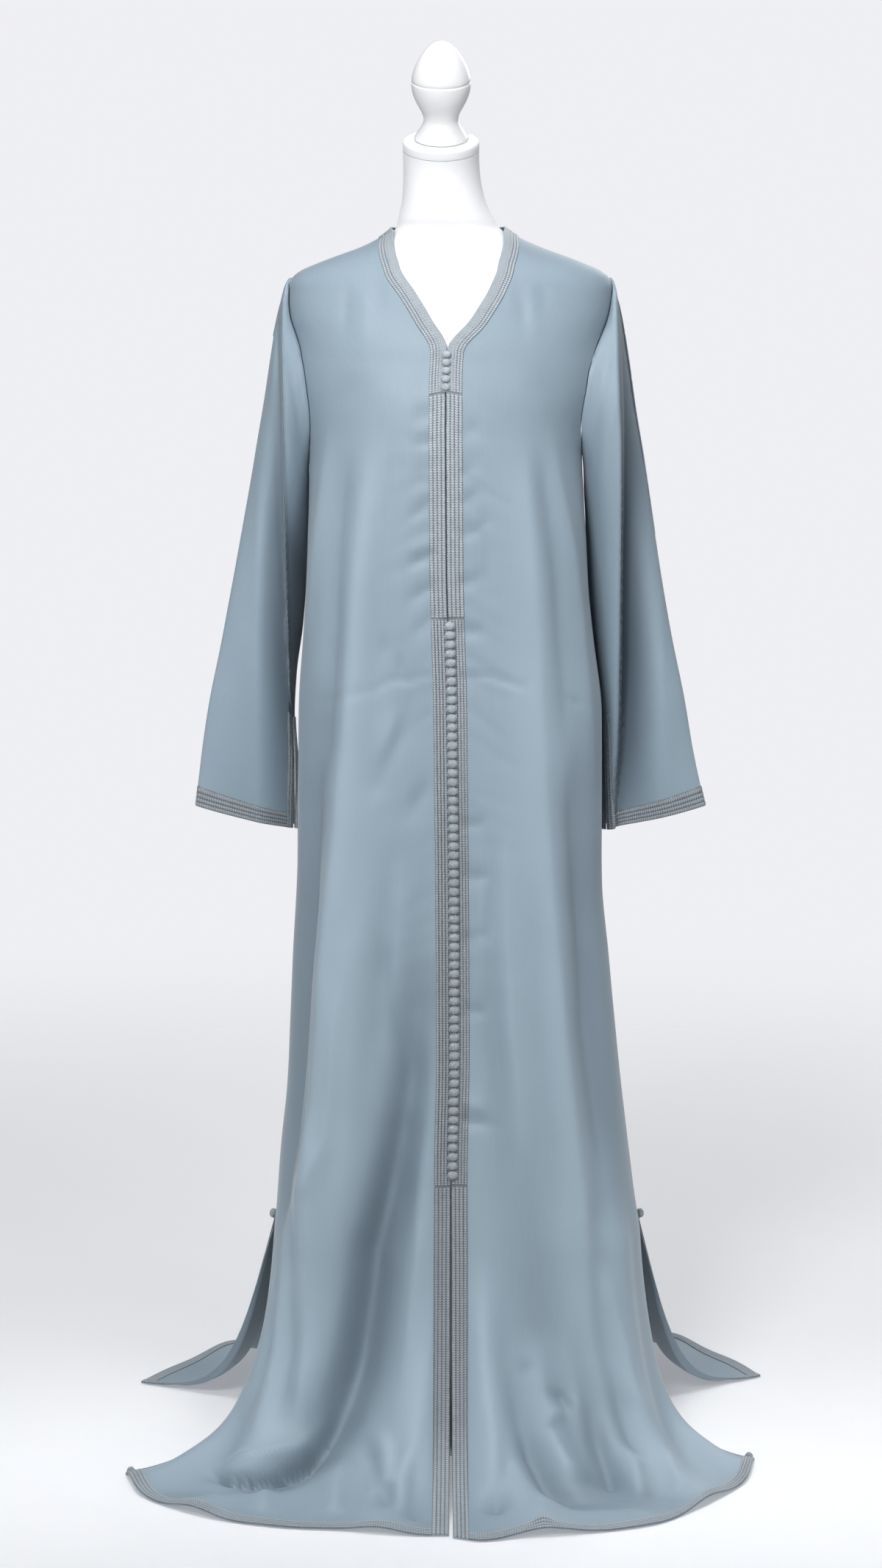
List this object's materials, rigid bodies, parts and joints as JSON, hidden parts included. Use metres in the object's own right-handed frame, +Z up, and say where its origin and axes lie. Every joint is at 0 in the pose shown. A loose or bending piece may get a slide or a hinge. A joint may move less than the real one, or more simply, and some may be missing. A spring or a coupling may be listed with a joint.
{
  "type": "takchita underpiece on a limbless dress form",
  "caption": "Long light blue-grey takchita underpiece with braid edges, knotted front closure, long sleeves and side slits, worn by a plain limbless dress form on a round stand.",
  "frame": {"origin": "on the floor, at the middle of the box round the whole part; the stand's round base lies flat on the floor there", "axes": "+Z up along the stand's pole; the garment faces -Y; the wearer's left arm is at +X"},
  "size_m": [0.816, 0.9404, 1.7254],
  "materials": {
    "gown_cloth": "matt crepe satin",
    "braid": "silky cord braid, slightly shiny",
    "knots": "silky knotted cord",
    "form_jersey": "white jersey",
    "finial": "white jersey over a turned knob",
    "stand_metal": "white semi-gloss"
  },
  "bodies": {
    "root": {"front_right_panel": "gown_cloth", "front_left_panel": "gown_cloth", "back_panel": "gown_cloth", "sleeve_right": "gown_cloth", "sleeve_left": "gown_cloth", "braid_front_right": "braid", "braid_front_left": "braid", "braid_back_neck": "braid", "braid_hem_front_right": "braid", "braid_hem_front_left": "braid", "braid_hem_back": "braid", "braid_slit_front_right": "braid", "braid_slit_front_left": "braid", "braid_slit_back_right": "braid", "braid_slit_back_left": "braid", "braid_cuff_right": "braid", "braid_cuff_left": "braid", "braid_sleeve_slit_front_right": "braid", "braid_sleeve_slit_back_right": "braid", "braid_sleeve_slit_front_left": "braid", "braid_sleeve_slit_back_left": "braid", "front_knots_1": "knots", "front_knots_2": "knots", "front_knots_3": "knots", "front_knots_4": "knots", "front_knots_5": "knots", "front_knots_6": "knots", "neck_knots": "knots", "slit_knot_right": "knots", "slit_knot_left": "knots", "form_torso": "form_jersey", "form_neck_cap": "form_jersey", "form_finial": "finial", "stand_collar": "stand_metal", "stand_pole": "stand_metal", "stand_base": "stand_metal"}
  },
  "joints": []
}
